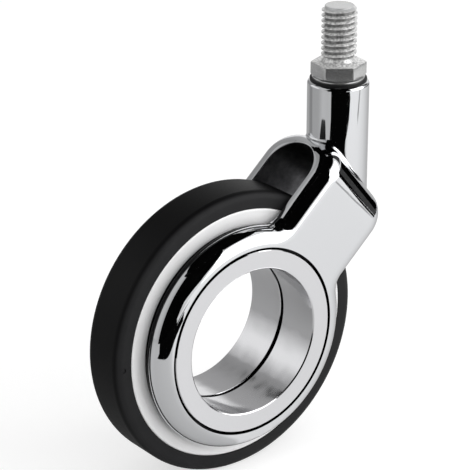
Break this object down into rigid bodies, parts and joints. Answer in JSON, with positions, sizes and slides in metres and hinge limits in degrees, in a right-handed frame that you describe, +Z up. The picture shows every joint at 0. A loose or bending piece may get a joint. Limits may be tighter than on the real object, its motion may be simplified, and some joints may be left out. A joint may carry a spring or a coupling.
{
  "type": "threaded stem castor",
  "caption": "Castor for furniture: chromed cast fork with an open ring hub, a thin rubber-tyred wheel turning on that hub, and a threaded stem on which the fork swivels.",
  "frame": {"origin": "middle of the hexagon's top face, on the swivel axis, where the castor seats against the furniture", "axes": "+Z up along the stud, Y along the wheel's axle with the hub half that carries the spigot at -Y, and the wheel trails towards -X"},
  "size_m": [0.0717, 0.0222, 0.1001],
  "materials": {
    "zinc_plated_steel": "turned, zinc plated",
    "spring_steel": "oiled spring steel",
    "dark_nylon": "moulded",
    "grey_nylon": "moulded",
    "chromed_casting": "polished die casting, bright chrome",
    "chromed_hub": "satin chrome",
    "bright_rim": "bright plated",
    "black_rubber": "moulded, satin"
  },
  "bodies": {
    "stem": {"threaded_stem": "zinc_plated_steel", "snap_ring": "spring_steel"},
    "fork": {"fork": "chromed_casting", "upper_swivel_bush": "dark_nylon", "lower_swivel_bush": "dark_nylon", "thrust_washer": "zinc_plated_steel", "front_hub_half": "chromed_hub", "rear_hub_half": "chromed_hub"},
    "wheel": {"tyre": "black_rubber", "wheel_core": "grey_nylon", "front_rim_ring": "bright_rim", "rear_rim_ring": "bright_rim", "front_wheel_bush": "dark_nylon", "rear_wheel_bush": "dark_nylon"}
  },
  "joints": [
    {"name": "swivel", "type": "hinge", "parent": "stem", "child": "fork", "pos_m": [0, 0, 0], "axis": [0, 0, 1], "continuous": true},
    {"name": "wheel_roll", "type": "hinge", "parent": "fork", "child": "wheel", "pos_m": [-0.03222, 0, -0.05482], "axis": [0, 1, 0], "continuous": true}
  ]
}
